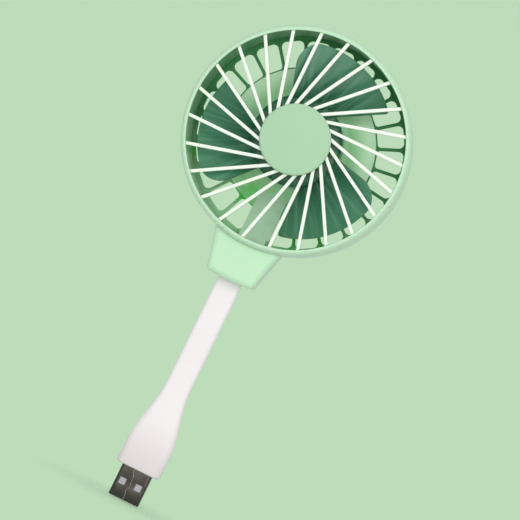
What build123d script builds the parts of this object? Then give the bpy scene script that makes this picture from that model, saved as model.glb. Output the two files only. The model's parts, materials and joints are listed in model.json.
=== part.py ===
from build123d import *
import os
from math import cos, radians, sin, sqrt, tan

# A plug-in fan on a bendable neck, standing on its plug. Millimetres.
# The origin is the centre of the plug's mouth, +Z runs up the neck to the head, and the air leaves
# the head along -Y. The fan is built the same on the left and on the right, apart from the sweep of
# its front ribs and blades.

# Plug
shell_width = 12.0
shell_depth = 4.5
shell_wall = 0.3
shell_corner = 0.8
shell_out = 12.2            # length that stands out of the grip
shell_held = 5.0            # length held inside the grip
window_size = 2.6
window_offset = 3.2         # centre of each shell window from the middle
window_height = 6.3
tongue_depth = 1.9
tongue_setback = 0.5
contact_pitch = 2.33
contact_width = 1.0
contact_thickness = 0.2
core_width = 13.0
core_depth = 5.6
core_height = 11.8

# Grip and neck
grip_width = 17.4
grip_depth = 8.0
grip_corner = 3.0
grip_edge = 0.9
flare_bottom = 22.8
flare_top = 47.2
flare_steps = 6
neck_width = 9.4
neck_depth = 5.0
neck_corner = 1.8
hinge_count = 8
hinge_pitch = 5.3
hinge_gap = 0.15            # between the round end of one neck segment and the hollow end of the next
core_wire_radius = 0.75
core_wire_offset = 3.0
lead_radius = 0.6
lead_offset = 0.9
snug = 0.02                 # radial gap of parts that are moulded or pressed together

# Head. Depths are measured along the head's axis from the neck's middle plane, forwards.
head_height = 147.0
head_radius = 42.5
mouth_radius = 40.4
bezel_front = 13.0
bezel_back = 4.0
bezel_lip = 0.7
bezel_wall = 1.0
bezel_round = 1.15
bezel_bead = 0.4
housing_back = -13.0
housing_wall = 2.0
housing_round = 3.0
tongue_gap = 0.1

# Front guard and its cap
rib_count = 24
rib_width = 1.25
rib_offset = 8.5            # each straight rib is tangent to a circle of this radius
guard_crown = 13.4
guard_fall = 1.15           # how much lower the guard's face is at its rim
guard_thickness = 2.0
guard_ring_outer = 12.6
guard_ring_inner = 9.65
cap_radius = 13.2
cap_thickness = 1.8
cap_round = 1.0
cap_collar = 1.9

# Rear grille
rear_rib_width = 1.2
window_inner = 29.0
window_outer = 38.9
window_edge = 0.35
channel_width = 11.0
channel_top = -8.2
channel_gap = 0.05
pod_front = -4.8
pod_front_radius = 18.3
pod_rear_radius = 28.5
pod_bore = 16.8
pod_waist = (22.0, 0, -8.3)
pod_rim = 0.3

# Neck block
block_back = -6.5
block_front = 9.5
block_round = 2.2
block_wall = 1.8
block_top_half = 13.35
block_top = -40.0
block_foot_half = 9.15
block_foot = -56.5
block_bottom = -57.0
block_corner = 1.6
sleeve_end = 93.0
anchor_width = 13.0
anchor_depth = 8.6
anchor_height = 6.0
screw_x = 7.5
screw_y = -45.5
screw_radius = 1.0
screw_head_radius = 1.75
screw_head_height = 1.1

# Motor and impeller
hub_radius = 17.0
hub_wall = 1.25
hub_front = 9.0
hub_back = -2.5
blade_count = 3
blade_tip = 36.8
blade_trailing_tip = 35.4   # the tip is cut a little lower at its sharp corner
blade_root_angles = (-20.0, 41.5)
blade_tip_angles = (-36.5, 34.0)
blade_broad_corner = 9.0
blade_sharp_corner = 1.5
blade_thickness = 1.3
blade_middle = 3.0
blade_phase = 80.0
yoke_wall = 0.8
yoke_back = -2.0
magnet_inner = 13.3
shaft_radius = 1.0
boss_radius = 3.1
boss_back = 4.5
bearing_radius = 2.6
running_gap = 0.05
tube_radius = 3.4
tube_floor = -12.0
tube_front = 3.0
mount_boss_radius = 6.0
mount_boss_front = -5.0
pole_count = 4
stack_back = -1.0
stack_front = 4.0
stack_radius = 12.8
board_radius = 12.5
board_thickness = 1.0

head_plane = Plane(origin=(0, 0, head_height), x_dir=(1, 0, 0), z_dir=(0, -1, 0))
first_hinge = flare_top + hinge_pitch / 2
hinges = [first_hinge + hinge_pitch * i for i in range(hinge_count)]


def on_head(shape):
    """Move a shape from the head's own frame, with its depth along Z, to its place on the fan."""
    return head_plane.location * shape


def disc(radius, back, front):
    """Solid cylinder on the head's axis between two depths."""
    return Pos(0, 0, back) * Cylinder(radius, front - back, align=(Align.CENTER, Align.CENTER, Align.MIN))


def ring(outer, inner, back, front):
    """Flat-ended ring on the head's axis."""
    return disc(outer, back, front) - disc(inner, back - 1, front + 1)


def brick(x_range, y_range, z_range):
    """Box given by its lowest and highest coordinate along each axis."""
    size = [high - low for low, high in (x_range, y_range, z_range)]
    corner = (x_range[0], y_range[0], z_range[0])
    return Pos(*corner) * Box(*size, align=(Align.MIN, Align.MIN, Align.MIN))


def around(shape, count, start=0.0):
    """Copies of a shape, evenly spaced about Z."""
    return [Rot(0, 0, start + 360 / count * i) * shape for i in range(count)]


def group(shapes):
    """Separate solids that share one node."""
    solids = []
    for shape in shapes:
        solids.extend(shape.solids())
    return Compound(children=solids)


# ---- Neck: one section, cut into segments that roll on each other


def neck_holes(gap):
    """Outlines of the two core wires and the two leads, widened by a gap."""
    wires = [Pos(x, 0) * Circle(core_wire_radius + gap) for x in (-core_wire_offset, core_wire_offset)]
    leads = [Pos(x, 0) * Circle(lead_radius + gap) for x in (-lead_offset, lead_offset)]
    return wires, leads


def neck_outline():
    return RectangleRounded(neck_width, neck_depth, neck_corner)


def roller(height, radius):
    """Cylinder across the neck at a hinge."""
    return Pos(0, 0, height) * Rot(0, 90, 0) * Cylinder(radius, grip_width)


def neck_run(outline, low, high):
    """A length of the neck between two hinges, with a hollow lower end and a round upper end."""
    reach = neck_depth / 2
    body = Pos(0, 0, low) * extrude(outline, amount=high - low)
    body -= roller(low, reach + hinge_gap)
    tip = Pos(0, 0, high) * extrude(outline, amount=reach)
    return body + (tip & roller(high, reach))


def sleeve_outline():
    outline = neck_outline()
    wires, leads = neck_holes(snug)
    for hole in wires + leads:
        outline -= hole
    return outline


def neck_segment_parts(index):
    """Sleeve, core wires and leads of one segment."""
    low = hinges[index]
    high = hinges[index + 1]
    wires, leads = neck_holes(0)
    sleeve = neck_run(sleeve_outline(), low, high)
    core_wires = group([neck_run(wire, low, high) for wire in wires])
    lead_pair = group([neck_run(lead, low, high) for lead in leads])
    return sleeve, core_wires, lead_pair


# ---- Plug end


def upright(outline, low, high):
    return Pos(0, 0, low) * extrude(outline, amount=high - low)


def flare():
    """Blend from the grip's section to the neck's, easing in and out."""
    outlines = []
    for step in range(flare_steps + 1):
        t = step / flare_steps
        ease = t * t * (3 - 2 * t)
        width = grip_width + (neck_width - grip_width) * ease
        depth = grip_depth + (neck_depth - grip_depth) * ease
        corner = grip_corner + (neck_corner - grip_corner) * ease
        height = flare_bottom + (flare_top - flare_bottom) * t
        outlines.append(Pos(0, 0, height) * RectangleRounded(width, depth, corner))
    return loft(outlines)


def plug_core_space(gap):
    outline = RectangleRounded(core_width + 2 * gap, core_depth + 2 * gap, 1.0)
    bottom = shell_out + shell_held
    return upright(outline, bottom, bottom + core_height + gap)


def shell_outline(inset):
    corner = shell_corner - inset
    return RectangleRounded(shell_width - 2 * inset, shell_depth - 2 * inset, corner)


def sleeve_grip():
    """Soft grip round the plug, flaring up into the foot of the neck."""
    straight = upright(RectangleRounded(grip_width, grip_depth, grip_corner), shell_out, flare_bottom)
    rim = straight.edges().group_by(Axis.Z)[0]
    straight = fillet(rim, grip_edge)
    top = hinges[0]
    reach = neck_depth / 2
    body = straight + flare() + upright(neck_outline(), flare_top, top)
    body += upright(neck_outline(), top, top + reach) & roller(top, reach)
    body -= upright(shell_outline(-snug), shell_out - 1, shell_out + shell_held)
    body -= plug_core_space(snug)
    wires, leads = neck_holes(snug)
    for hole in wires + leads:
        body -= upright(hole, shell_out + shell_held + 1, top + neck_depth)
    return body


def base_wires(outlines, low):
    """Wires that rise from the plug's core to the first hinge."""
    top = hinges[0]
    reach = neck_depth / 2
    pieces = []
    for outline in outlines:
        wire = upright(outline, low, top)
        tip = upright(outline, top, top + reach) & roller(top, reach)
        pieces.append(wire + tip)
    return group(pieces)


def plug_shell():
    """Folded metal shell with two latch windows in each wide face."""
    height = shell_out + shell_held
    body = upright(shell_outline(0), 0, height) - upright(shell_outline(shell_wall), -1, height + 1)
    for x in (-window_offset, window_offset):
        body -= Pos(x, 0, window_height) * Box(window_size, shell_depth + 1, window_size)
    return body


def plug_insulator():
    """Plastic tongue against the shell's front wall, with a full-height block behind it."""
    half_width = shell_width / 2 - shell_wall - snug
    half_depth = shell_depth / 2 - shell_wall - snug
    inner = upright(shell_outline(shell_wall + snug), tongue_setback, shell_out + shell_held)
    tongue = brick((-half_width, half_width), (-half_depth, tongue_depth - half_depth),
                   (tongue_setback, shell_out))
    block = brick((-half_width, half_width), (-half_depth, half_depth),
                  (shell_out - 1.2, shell_out + shell_held))
    body = (tongue + block) & inner
    for slot in contact_strips(snug).solids():
        body -= slot
    return body


def contact_strips(gap):
    """Four contacts on the tongue. Their tails run back through the block into the core."""
    face = tongue_depth - (shell_depth / 2 - shell_wall - snug)
    strips = []
    for place in (-1.5, -0.5, 0.5, 1.5):
        x = place * contact_pitch
        front = 1.0 if abs(place) > 1 else 2.0
        half = contact_width / 2 + gap
        depth_range = (face - contact_thickness - gap, face + gap)
        strips.append(brick((x - half, x + half), depth_range, (front - gap, shell_out + 9.0 + gap)))
    return group(strips)


def plug_core():
    """Hard moulding that holds the contact tails, the leads and the feet of the core wires."""
    body = plug_core_space(0)
    bottom = shell_out + shell_held
    wires, leads = neck_holes(snug)
    for hole in wires:
        body -= upright(hole, bottom + 6.8, bottom + core_height + 1)
    for hole in leads:
        body -= upright(hole, bottom + 4.0 - snug, bottom + core_height + 1)
    for slot in contact_strips(snug).solids():
        body -= slot
    return body


# ---- Head housing


def block_outline():
    """Tapered block between the round head and the neck, with a gently rounded foot."""
    sides = Polyline((-block_foot_half, block_foot), (-block_top_half, block_top),
                     (block_top_half, block_top), (block_foot_half, block_foot))
    foot = ThreePointArc((block_foot_half, block_foot), (0, block_bottom), (-block_foot_half, block_foot))
    outline = make_face(sides + foot)
    return fillet(outline.vertices().group_by(Axis.Y)[0], block_corner)


def block_body():
    solid = Pos(0, 0, block_back) * extrude(block_outline(), amount=block_front - block_back)
    faces = solid.faces().filter_by(Axis.Z)
    rims = [edge for face in faces for edge in face.edges() if edge.center().Y < block_top - 0.5]
    return fillet(rims, block_round)


def block_space():
    """Hollow inside the block and the slot where the neck comes in."""
    inner = offset(block_outline(), amount=-block_wall)
    depth = block_front - block_back - 2 * block_wall
    hollow = Pos(0, 0, block_back + block_wall) * extrude(inner, amount=depth)
    slot_outline = RectangleRounded(neck_width + 0.2, neck_depth + 0.2, neck_corner + 0.1)
    slot = Pos(0, block_bottom + block_wall, 0) * Rot(90, 0, 0) * extrude(slot_outline, amount=4, both=True)
    return hollow + slot


def screw_posts(radius, back, front):
    return [Pos(x, screw_y, 0) * disc(radius, back, front) for x in (-screw_x, screw_x)]


def rear_windows():
    """Openings between the radial ribs of the rear grille. The one under the channel is left out."""
    half_pitch = 180 / rib_count
    slope = tan(radians(half_pitch))
    trim = rear_rib_width / 2 / cos(radians(half_pitch))
    inner = window_inner * slope - trim
    outer = window_outer * slope - trim
    outline = make_face(Polyline((window_inner, -inner), (window_outer, -outer), (window_outer, outer),
                                 (window_inner, inner), close=True))
    outline = fillet(outline.vertices().group_by(Axis.X)[-1], 2.0)
    outline = fillet(outline.vertices().group_by(Axis.X)[0], 1.2)
    window = Pos(0, 0, housing_back - 1) * extrude(outline, amount=housing_wall + 2)
    return [one for one in around(window, rib_count) if one.center().Y > -0.99 * one.center().length]


def motor_pod():
    """Trumpet-shaped cup round the motor, standing on the rear grille behind the hub."""
    base = housing_back + housing_wall
    rim = base + pod_rim
    flank = ThreePointArc((pod_front_radius, 0, pod_front), pod_waist, (pod_rear_radius, 0, rim))
    outline = make_face([flank, Polyline(flank @ 1, (pod_rear_radius, 0, base), (pod_bore, 0, base),
                                         (pod_bore, 0, pod_front), flank @ 0)])
    pod = revolve(outline, Axis.Z)
    half = channel_width / 2 + channel_gap
    pod -= brick((-half, half), (-mouth_radius, -19.45), (base - 1, channel_top + channel_gap))
    return pod - brick((-2.2, 2.2), (-mouth_radius, 0), (base - 1, -9.6))


def lead_hole():
    """Passage through the drum wall for the leads."""
    return brick((-2.2, 2.2), (-head_radius - 1, -mouth_radius + 1), (-4.7, -3.1))


def rear_housing():
    """Drum, rear grille, motor boss and the rear half of the neck block in one moulding."""
    inner_back = housing_back + housing_wall
    drum = disc(head_radius, housing_back, bezel_back)
    drum = fillet(drum.edges().group_by(Axis.Z)[0], housing_round)
    half = block_body() & brick((-30, 30), (-70, 0), (block_back - 1, 0))
    body = drum + half
    body += disc(head_radius - bezel_wall - tongue_gap, bezel_back - 1, guard_back(mouth_radius) - 0.1)
    body -= disc(mouth_radius, inner_back, bezel_front)
    body += disc(mount_boss_radius, inner_back - 0.5, mount_boss_front)
    body -= disc(tube_radius + snug, tube_floor, bezel_front)
    hollow = block_space() - disc(head_radius, housing_back - 5, bezel_front + 5)
    body -= hollow
    for post in screw_posts(2.0, block_back + 0.5, 0):
        body += post
    for hole in screw_posts(screw_radius + 0.1, block_back - 1, 1):
        body -= hole
    seat = block_back + 1.3
    for recess in screw_posts(screw_head_radius + 0.1, block_back - 1, seat):
        body -= recess
    body -= lead_hole()
    for window in rear_windows():
        body -= window
    return soften_windows(body)


def soften_windows(body):
    """Round the edges of the rear windows, inside and out."""
    rims = []
    for edge in body.edges():
        middle = edge.center()
        reach = sqrt(middle.X ** 2 + middle.Y ** 2)
        in_grille = window_inner - 0.1 < reach < window_outer + 0.3 and middle.Z < housing_back + 2.1
        flat = abs(edge.bounding_box().size.Z) < 0.001
        if in_grille and flat and edge.length < 15:
            rims.append(edge)
    return fillet(rims, window_edge)


def neck_block_front():
    """Front half of the neck block, closed on the rear half by two screws."""
    body = block_body() & brick((-30, 30), (-70, 0), (0, block_front + 1))
    body -= block_space()
    for post in screw_posts(2.0, 0, block_front - 0.5):
        body += post
    for hole in screw_posts(screw_radius + snug, -1, 3.8):
        body -= hole
    return body - disc(head_radius + 0.05, -20, 20)


def block_screws():
    """Two pan-head screws from the rear."""
    back = block_back + 1.3 - screw_head_height
    screws = []
    for x in (-screw_x, screw_x):
        head = disc(screw_head_radius, back, back + screw_head_height)
        head = fillet(head.edges().group_by(Axis.Z)[0], 0.5)
        shank = disc(screw_radius, back, 3.5)
        cross = Box(2.0, 0.5, 1.0) + Box(0.5, 2.0, 1.0)
        screws.append(Pos(x, screw_y, 0) * (head + shank - Pos(0, 0, back) * cross))
    return group(screws)


def neck_anchor():
    """Moulded block on the end of the neck, trapped inside the neck block."""
    outline = RectangleRounded(anchor_width, anchor_depth, 1.2)
    body = upright(outline, sleeve_end, sleeve_end + anchor_height)
    wires, leads = neck_holes(snug)
    for hole in wires + leads:
        body -= upright(hole, sleeve_end - 1, sleeve_end + anchor_height + 1)
    return body


def top_wires(outlines, high):
    """Upper ends of wires that stop in the anchor, hollowed to roll on the last neck segment."""
    hollow = roller(hinges[-1], neck_depth / 2 + hinge_gap)
    return group([upright(outline, hinges[-1], high) - hollow for outline in outlines])


def sleeve_top():
    hollow = roller(hinges[-1], neck_depth / 2 + hinge_gap)
    return upright(sleeve_outline(), hinges[-1], sleeve_end) - hollow


def front_bezel():
    """Ring that closes the front of the drum and covers the rim of the guard."""
    skirt = ring(head_radius, head_radius - bezel_wall, bezel_back, bezel_front)
    lip = ring(head_radius, mouth_radius, bezel_front - bezel_lip, bezel_front)
    body = skirt + lip
    front_edges = body.edges().filter_by(GeomType.CIRCLE).group_by(Axis.Z)[-1].sort_by(SortBy.RADIUS)
    body = fillet(front_edges[-1], bezel_round)
    front_edges = body.edges().filter_by(GeomType.CIRCLE).group_by(Axis.Z)[-1].sort_by(SortBy.RADIUS)
    return fillet(front_edges[0], bezel_bead)


def guard_front(radius):
    """Depth of the guard's gently domed face at a distance from the axis."""
    return guard_crown - guard_fall * (radius / mouth_radius) ** 2


def guard_back(radius):
    return guard_front(radius) - guard_thickness


def guard_dome():
    """Domed slab, the guard's ribs and rings are what is left of it."""
    edge = head_radius
    middle = edge / 2
    front = ThreePointArc((0, 0, guard_front(0)), (middle, 0, guard_front(middle)),
                          (edge, 0, guard_front(edge)))
    back = ThreePointArc((edge, 0, guard_back(edge)), (middle, 0, guard_back(middle)),
                         (0, 0, guard_back(0)))
    outline = make_face([front, Line(front @ 1, back @ 0), back, Line(back @ 1, front @ 0)])
    return revolve(outline, Axis.Z)


def front_guard():
    """Straight ribs that sweep past the axis, between an inner and an outer ring."""
    inner_reach = sqrt((guard_ring_outer - 1) ** 2 - rib_offset ** 2)
    outer_radius = head_radius - bezel_wall - tongue_gap
    outer_reach = sqrt((outer_radius - 0.4) ** 2 - rib_offset ** 2)
    length = outer_reach - inner_reach
    rib = Pos(inner_reach + length / 2, rib_offset, guard_crown) * Box(length, rib_width, 20)
    lattice = ring(guard_ring_outer, guard_ring_inner, 0, 20)
    lattice += ring(outer_radius, mouth_radius + 0.05, 0, 20)
    for one in around(rib, rib_count):
        lattice += one
    return lattice & guard_dome()


def hub_cap():
    """Plain cap over the inner ends of the ribs, held by a collar."""
    cap = disc(cap_radius, guard_crown, guard_crown + cap_thickness)
    cap = fillet(cap.edges().group_by(Axis.Z)[-1], cap_round)
    collar_outer = guard_ring_inner - tongue_gap
    collar = ring(collar_outer, collar_outer - 1.0, guard_crown - cap_collar, guard_crown)
    return cap + collar


def channel_cover():
    """Cover over the leads, along the rear grille and up the drum wall beside the neck."""
    half = channel_width / 2
    back = housing_back + housing_wall
    riser = -blade_tip - 0.9
    body = brick((-half, half), (-mouth_radius, -19.5), (back, channel_top))
    body += brick((-half, half), (-mouth_radius, riser), (back, -2.6))
    body -= brick((-2.2, 2.2), (-mouth_radius - 1, 0), (back - 1, -9.4))
    body -= brick((-2.2, 2.2), (-mouth_radius - 1, riser - 0.8), (back - 1, -3.0))
    body = body & disc(mouth_radius - 0.05, back, 0)
    tops = body.edges().filter_by(Axis.Y).group_by(Axis.Z)[-2:]
    return fillet([edge for group_of_edges in tops for edge in group_of_edges], 0.8)


def head_lead(side):
    """One insulated lead, from the last neck hinge through the block and channel to the board."""
    x = side * lead_offset
    start = hinges[-1] - head_height
    route = [(x, start, 0), (x, -47.0, 0), (x, -43.8, -3.9), (x, -39.4, -3.9), (x, -39.4, -10.35),
             (x, -13.0, -10.35), (x, -9.5, -7.4), (x, -9.5, mount_boss_front)]
    path = FilletPolyline(*route, radius=[3.0, 3.0, 1.5, 1.0, 2.5, 1.5])
    section = Plane(origin=path @ 0, z_dir=path % 0) * Circle(lead_radius)
    lead = on_head(sweep(section, path=path))
    return lead - roller(hinges[-1], neck_depth / 2 + hinge_gap)


# ---- Motor


def bearing_tube():
    return disc(tube_radius, tube_floor, tube_front) - disc(bearing_radius + snug, tube_floor + 1, 20)


def thrust_plate():
    """Hard disc under the end of the shaft."""
    return disc(bearing_radius - 0.1, tube_floor + 1, tube_floor + 1.8)


def shaft_end():
    return tube_floor + 1.9


def sleeve_bearing():
    return ring(bearing_radius, shaft_radius + running_gap, shaft_end() + 2.2, tube_front - 0.2)


def rotor_shaft():
    """Steel shaft with a groove for its clip."""
    groove = ring(shaft_radius + 1, shaft_radius - 0.2, shaft_end() + 1.0, shaft_end() + 1.42)
    return disc(shaft_radius, shaft_end(), hub_front - hub_wall) - groove


def shaft_clip():
    """Split washer that keeps the shaft in its bearing."""
    clip = ring(2.1, shaft_radius - 0.18, shaft_end() + 1.01, shaft_end() + 1.41)
    return clip - brick((0, 3), (-0.45, 0.45), (shaft_end(), shaft_end() + 3))


def pole_outline():
    """One laminated pole: an arm and a shoe that follows the magnet."""
    arm = Pos(stack_radius / 2, 0) * Rectangle(stack_radius - 1, 3.0)
    shoe = (Circle(stack_radius) - Circle(stack_radius - 1.6)) & Pos(stack_radius, 0) * Rectangle(9, 15)
    return (arm & Circle(stack_radius)) + shoe


def stator_outline():
    outline = Circle(5.6)
    for pole in around(pole_outline(), pole_count):
        outline += pole
    return outline - Circle(tube_radius + snug)


def stator_core():
    return Pos(0, 0, stack_back) * extrude(stator_outline(), amount=stack_front - stack_back)


def stator_insulators():
    """Plastic end pieces on both faces of the core, and the foot that stands on the board."""
    skin = 0.6
    outline = stator_outline() & Circle(stack_radius - 1.7)
    front = Pos(0, 0, stack_front) * extrude(outline, amount=skin)
    back = Pos(0, 0, stack_back - skin) * extrude(outline, amount=skin)
    foot = ring(5.4, tube_radius + snug, mount_boss_front + board_thickness, stack_back - skin)
    return group([front, back + foot])


def stator_windings():
    """One coil round each pole's arm."""
    coil = brick((6.4, 10.6), (-2.9, 2.9), (stack_back - 1.8, stack_front + 1.8))
    coil = fillet(coil.edges().filter_by(Axis.X), 1.2)
    coil -= brick((5, 12), (-1.5, 1.5), (stack_back - 0.6, stack_front + 0.6))
    return group(around(coil, pole_count))


def motor_board():
    """Round circuit board under the stator, held between the mount boss and the stator's foot."""
    return ring(board_radius, tube_radius + snug, mount_boss_front, mount_boss_front + board_thickness)


def board_components():
    """Driver chip, sensor and capacitors on the rear of the board."""
    face = mount_boss_front
    chip = brick((-9.6, -6.8), (-1.5, 1.5), (face - 1.0, face))
    sensor = brick((7.4, 9.4), (3.2, 4.8), (face - 0.8, face))
    capacitors = [brick((x, x + 1.6), (7.2, 8.0), (face - 0.8, face)) for x in (-3.2, 1.4)]
    return group([chip, sensor] + capacitors)


def rotor_yoke():
    """Drawn steel cup that carries the magnet."""
    outer = hub_radius - hub_wall - running_gap
    front = hub_front - hub_wall
    body = disc(outer, yoke_back, front) - disc(outer - yoke_wall, yoke_back - 1, front - yoke_wall)
    return body - disc(boss_radius + running_gap, 0, 20)


def rotor_magnet():
    outer = hub_radius - hub_wall - yoke_wall - 2 * running_gap
    return ring(outer, magnet_inner, yoke_back + 0.5, hub_front - hub_wall - yoke_wall - 0.4)


def blade():
    """One blade: a thin curved sheet, flatter towards its tip, trimmed to its plan outline."""
    stations = [(12.0, 25.0), (24.0, 17.5), (38.0, 13.0)]
    half_width = 26.0
    camber = 1.6
    outlines = []
    for distance, pitch in stations:
        rise = half_width * tan(radians(pitch))
        half = blade_thickness / 2
        upper = ThreePointArc((-half_width, -rise + half), (0, camber + half), (half_width, rise + half))
        lower = ThreePointArc((half_width, rise - half), (0, camber - half), (-half_width, -rise - half))
        ends = [Line(upper @ 1, lower @ 0), Line(lower @ 1, upper @ 0)]
        face = make_face([upper, ends[0], lower, ends[1]])
        plane = Plane(origin=(distance, 0, blade_middle), x_dir=(0, 1, 0), z_dir=(1, 0, 0))
        outlines.append(plane * face)
    sheet = loft(outlines)
    return sheet & blade_trim()


def polar(radius, angle):
    return (radius * cos(radians(angle)), radius * sin(radians(angle)))


def blade_trim():
    """Plan outline of a blade: a swept sector with one sharp and one broad outer corner."""
    root = hub_radius - 0.6
    low_root, high_root = [polar(root, angle) for angle in blade_root_angles]
    low_tip = polar(blade_trailing_tip, blade_tip_angles[0])
    high_tip = polar(blade_tip, blade_tip_angles[1])
    tip = ThreePointArc(low_tip, polar(blade_tip, 4), high_tip)
    inner = ThreePointArc(high_root, (root, 0), low_root)
    outline = make_face([Line(low_root, low_tip), tip, Line(high_tip, high_root), inner])
    corner = outline.vertices().sort_by_distance(high_tip)[0]
    outline = fillet(corner, blade_broad_corner)
    corner = outline.vertices().sort_by_distance(low_tip)[0]
    outline = fillet(corner, blade_sharp_corner)
    return Pos(0, 0, -20) * extrude(outline, amount=50)


def impeller():
    """Cup-shaped hub with its blades in one moulding."""
    hub = disc(hub_radius, hub_back, hub_front)
    hub = fillet(hub.edges().group_by(Axis.Z)[-1], 1.6)
    for one in around(blade(), blade_count, blade_phase):
        hub += one
    hub -= disc(hub_radius - hub_wall, hub_back - 5, hub_front - hub_wall)
    hub += disc(boss_radius, boss_back, hub_front - hub_wall + 0.2)
    return hub - disc(shaft_radius + snug, boss_back - 1, hub_front - hub_wall)


# ---- The whole fan


def all_parts():
    wires, leads = neck_holes(0)
    core_foot = shell_out + shell_held
    parts = {
        "sleeve_grip": sleeve_grip(),
        "plug_core": plug_core(),
        "plug_shell": plug_shell(),
        "plug_insulator": plug_insulator(),
        "plug_contacts": contact_strips(0),
        "core_wires_base": base_wires(wires, core_foot + 6.8),
        "leads_base": base_wires(leads, core_foot + 4.0),
        "sleeve_top": sleeve_top(),
        "core_wires_top": top_wires(wires, sleeve_end + anchor_height),
        "neck_anchor": neck_anchor(),
        "red_lead": head_lead(1),
        "black_lead": head_lead(-1),
    }
    for index in range(hinge_count - 1):
        sleeve, core_wires, lead_pair = neck_segment_parts(index)
        parts[f"neck_sleeve_{index + 1}"] = sleeve
        parts[f"neck_core_wires_{index + 1}"] = core_wires
        parts[f"neck_leads_{index + 1}"] = lead_pair
    head_parts = {
        "rear_housing": rear_housing(),
        "motor_pod": motor_pod(),
        "neck_block_front": neck_block_front(),
        "block_screws": block_screws(),
        "front_bezel": front_bezel(),
        "front_guard": front_guard(),
        "hub_cap": hub_cap(),
        "channel_cover": channel_cover(),
        "bearing_tube": bearing_tube(),
        "thrust_plate": thrust_plate(),
        "sleeve_bearing": sleeve_bearing(),
        "stator_core": stator_core(),
        "stator_insulators": stator_insulators(),
        "stator_windings": stator_windings(),
        "motor_board": motor_board(),
        "board_components": board_components(),
        "impeller": impeller(),
        "rotor_yoke": rotor_yoke(),
        "rotor_magnet": rotor_magnet(),
        "rotor_shaft": rotor_shaft(),
        "shaft_clip": shaft_clip(),
    }
    for name, shape in head_parts.items():
        parts[name] = on_head(shape)
    return parts


os.makedirs("parts", exist_ok=True)
for name, shape in all_parts().items():
    export_step(shape, f"parts/{name}.step")
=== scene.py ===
import bpy
import bmesh
import json
import math
from mathutils import Matrix, Vector


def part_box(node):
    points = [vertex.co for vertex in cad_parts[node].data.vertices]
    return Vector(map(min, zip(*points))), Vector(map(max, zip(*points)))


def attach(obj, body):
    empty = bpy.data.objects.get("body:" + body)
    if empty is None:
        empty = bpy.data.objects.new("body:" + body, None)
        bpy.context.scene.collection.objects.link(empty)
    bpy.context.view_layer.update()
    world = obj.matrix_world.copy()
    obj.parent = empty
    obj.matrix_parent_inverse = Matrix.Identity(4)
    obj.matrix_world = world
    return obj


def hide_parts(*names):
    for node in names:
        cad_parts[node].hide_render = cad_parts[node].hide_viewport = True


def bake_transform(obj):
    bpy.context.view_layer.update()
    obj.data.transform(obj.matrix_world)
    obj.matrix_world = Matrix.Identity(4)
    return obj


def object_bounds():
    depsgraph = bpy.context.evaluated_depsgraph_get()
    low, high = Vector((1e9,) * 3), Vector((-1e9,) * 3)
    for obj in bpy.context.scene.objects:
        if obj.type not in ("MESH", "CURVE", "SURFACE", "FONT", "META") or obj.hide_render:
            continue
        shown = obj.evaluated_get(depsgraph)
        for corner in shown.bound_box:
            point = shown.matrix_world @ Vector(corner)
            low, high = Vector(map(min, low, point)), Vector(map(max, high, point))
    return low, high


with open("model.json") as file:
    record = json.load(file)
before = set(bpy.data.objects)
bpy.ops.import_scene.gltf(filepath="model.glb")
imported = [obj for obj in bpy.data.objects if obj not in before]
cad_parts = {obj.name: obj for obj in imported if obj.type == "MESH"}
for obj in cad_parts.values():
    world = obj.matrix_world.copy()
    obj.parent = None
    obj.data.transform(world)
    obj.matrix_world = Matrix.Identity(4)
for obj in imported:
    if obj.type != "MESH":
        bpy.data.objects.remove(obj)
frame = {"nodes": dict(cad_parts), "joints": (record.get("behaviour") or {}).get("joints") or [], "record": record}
cadLow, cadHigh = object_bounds()
mm = 0.001

joints = {joint["name"]: joint for joint in frame["joints"]}
headHeight = joints["impeller_spin"]["pos_m"][2]
hingeHeights = [joints[f"neck_bend_{k}"]["pos_m"][2] for k in range(1, 9)]
hingePitch = hingeHeights[1] - hingeHeights[0]
print("frame loaded:", len(frame["nodes"]), "nodes, head axis at", headHeight)


def headSpan(node):
    # radius, rearmost and foremost depth of a node on the head's axis
    low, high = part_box(node)
    return (high.x - low.x) / 2, -high.y, -low.y


# Modelling helpers

def startFresh():
    if bpy.context.object and bpy.context.object.mode != 'OBJECT':
        bpy.ops.object.mode_set(mode='OBJECT')
    bpy.ops.object.select_all(action='DESELECT')


def takeUp(piece):
    startFresh()
    piece.select_set(True)
    bpy.context.view_layer.objects.active = piece


def middleOf(item):
    if isinstance(item, bmesh.types.BMVert):
        return item.co
    if isinstance(item, bmesh.types.BMEdge):
        return (item.verts[0].co + item.verts[1].co) / 2
    return item.calc_center_median()


def pick(piece, kind, test):
    # selects the vertices, edges or faces that pass a test, in edit mode
    bpy.ops.mesh.select_mode(type=kind)
    bpy.ops.mesh.select_all(action='DESELECT')
    mesh = bmesh.from_edit_mesh(piece.data)
    items = {'VERT': mesh.verts, 'EDGE': mesh.edges, 'FACE': mesh.faces}[kind]
    for item in items:
        if test(item):
            item.select_set(True)
    mesh.select_flush_mode()
    bmesh.update_edit_mesh(piece.data)


def closeUp():
    # merges doubles, turns every face outwards and leaves edit mode
    bpy.ops.mesh.select_mode(type='VERT')
    bpy.ops.mesh.select_all(action='SELECT')
    bpy.ops.mesh.remove_doubles(threshold=0.004 * mm)
    bpy.ops.mesh.normals_make_consistent(inside=False)
    bpy.ops.object.mode_set(mode='OBJECT')


def applyModifier(piece, kind, settings):
    takeUp(piece)
    modifier = piece.modifiers.new(kind.title(), kind)
    for name, value in settings.items():
        setattr(modifier, name, value)
    bpy.ops.object.modifier_apply(modifier=modifier.name)


def softenEdges(piece, width, segments=2, angle=35):
    applyModifier(piece, 'BEVEL', {"width": width, "segments": segments, "limit_method": 'ANGLE',
                                   "angle_limit": math.radians(angle), "harden_normals": False})


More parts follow.
